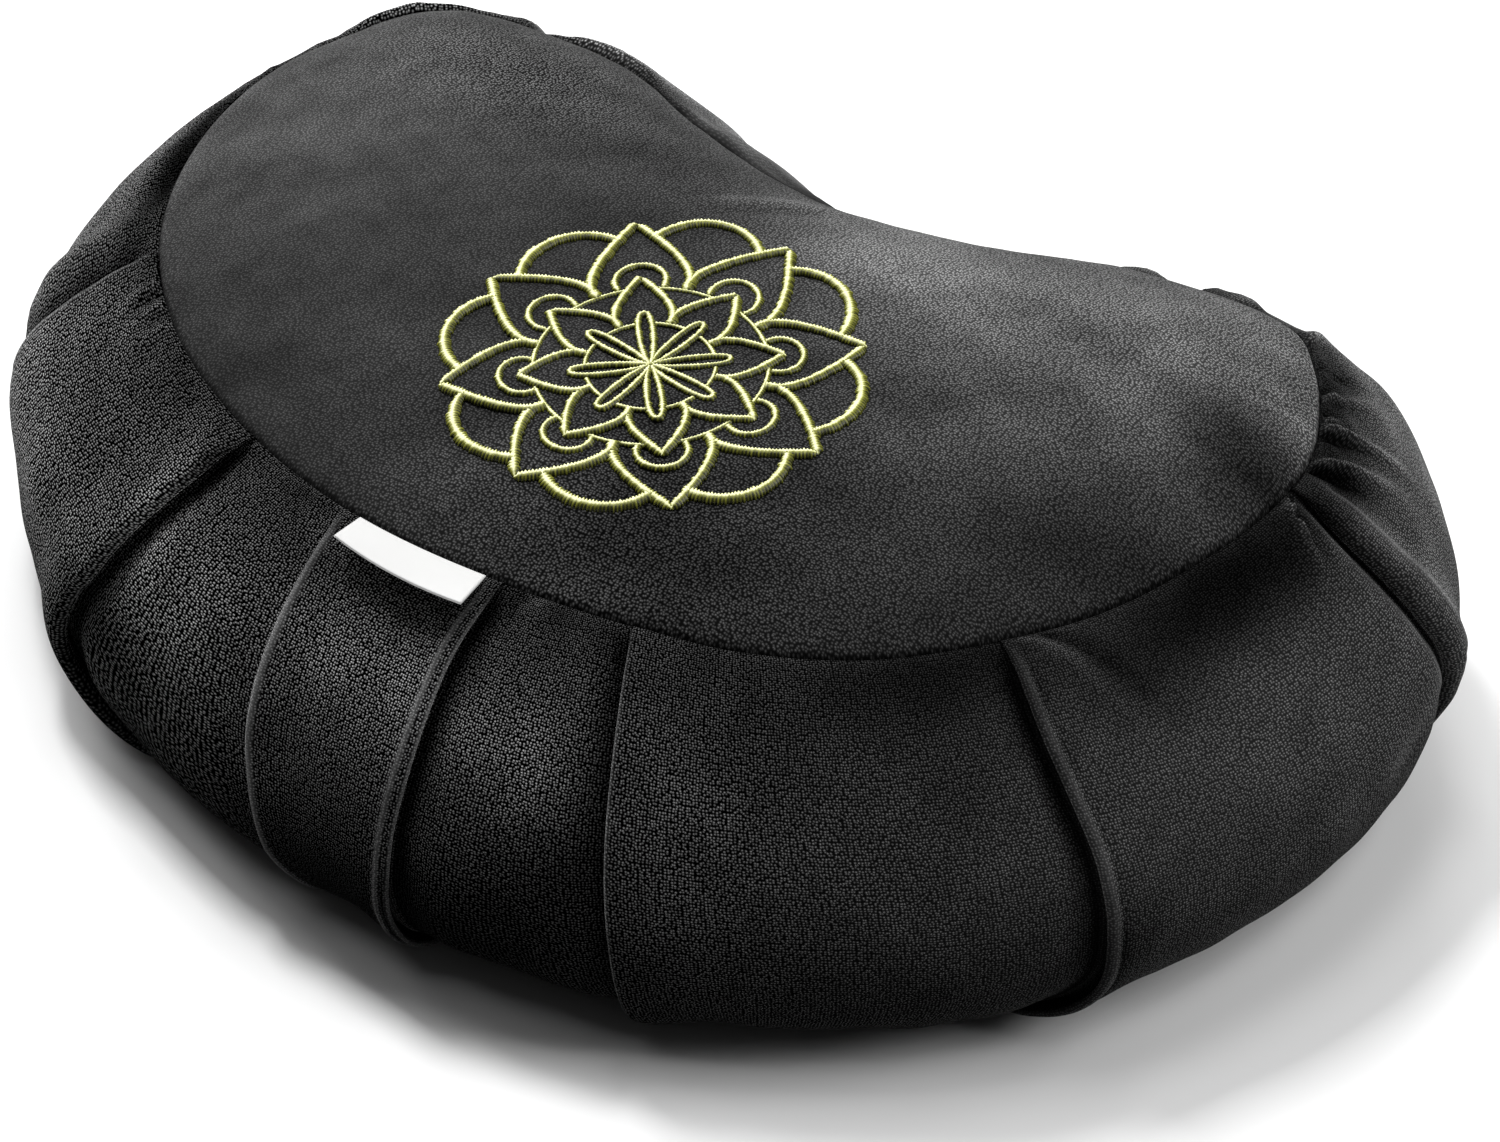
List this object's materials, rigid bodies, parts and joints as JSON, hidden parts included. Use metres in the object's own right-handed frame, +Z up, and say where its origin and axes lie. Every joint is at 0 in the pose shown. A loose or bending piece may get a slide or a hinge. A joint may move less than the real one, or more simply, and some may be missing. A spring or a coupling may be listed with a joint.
{
  "type": "crescent meditation cushion",
  "caption": "Low crescent floor cushion in dark pleated velvet, with a crowned top panel, a bulging pleated side band, a flat base and a bare ribbon label",
  "frame": {"origin": "on the floor under the middle of the cushion's box", "axes": "+X from the middle to the right lobe, -Y towards the rounded front, +Z up"},
  "size_m": [0.4258, 0.3254, 0.1357],
  "materials": {
    "velvet_top": "short pile velvet, charcoal",
    "velvet_band": "short pile velvet, charcoal",
    "velvet_base": "short pile velvet, charcoal",
    "ribbon": "white woven satin ribbon"
  },
  "bodies": {
    "root": {"top_panel": "velvet_top", "side_band": "velvet_band", "bottom_panel": "velvet_base", "label_tag": "ribbon"}
  },
  "joints": []
}
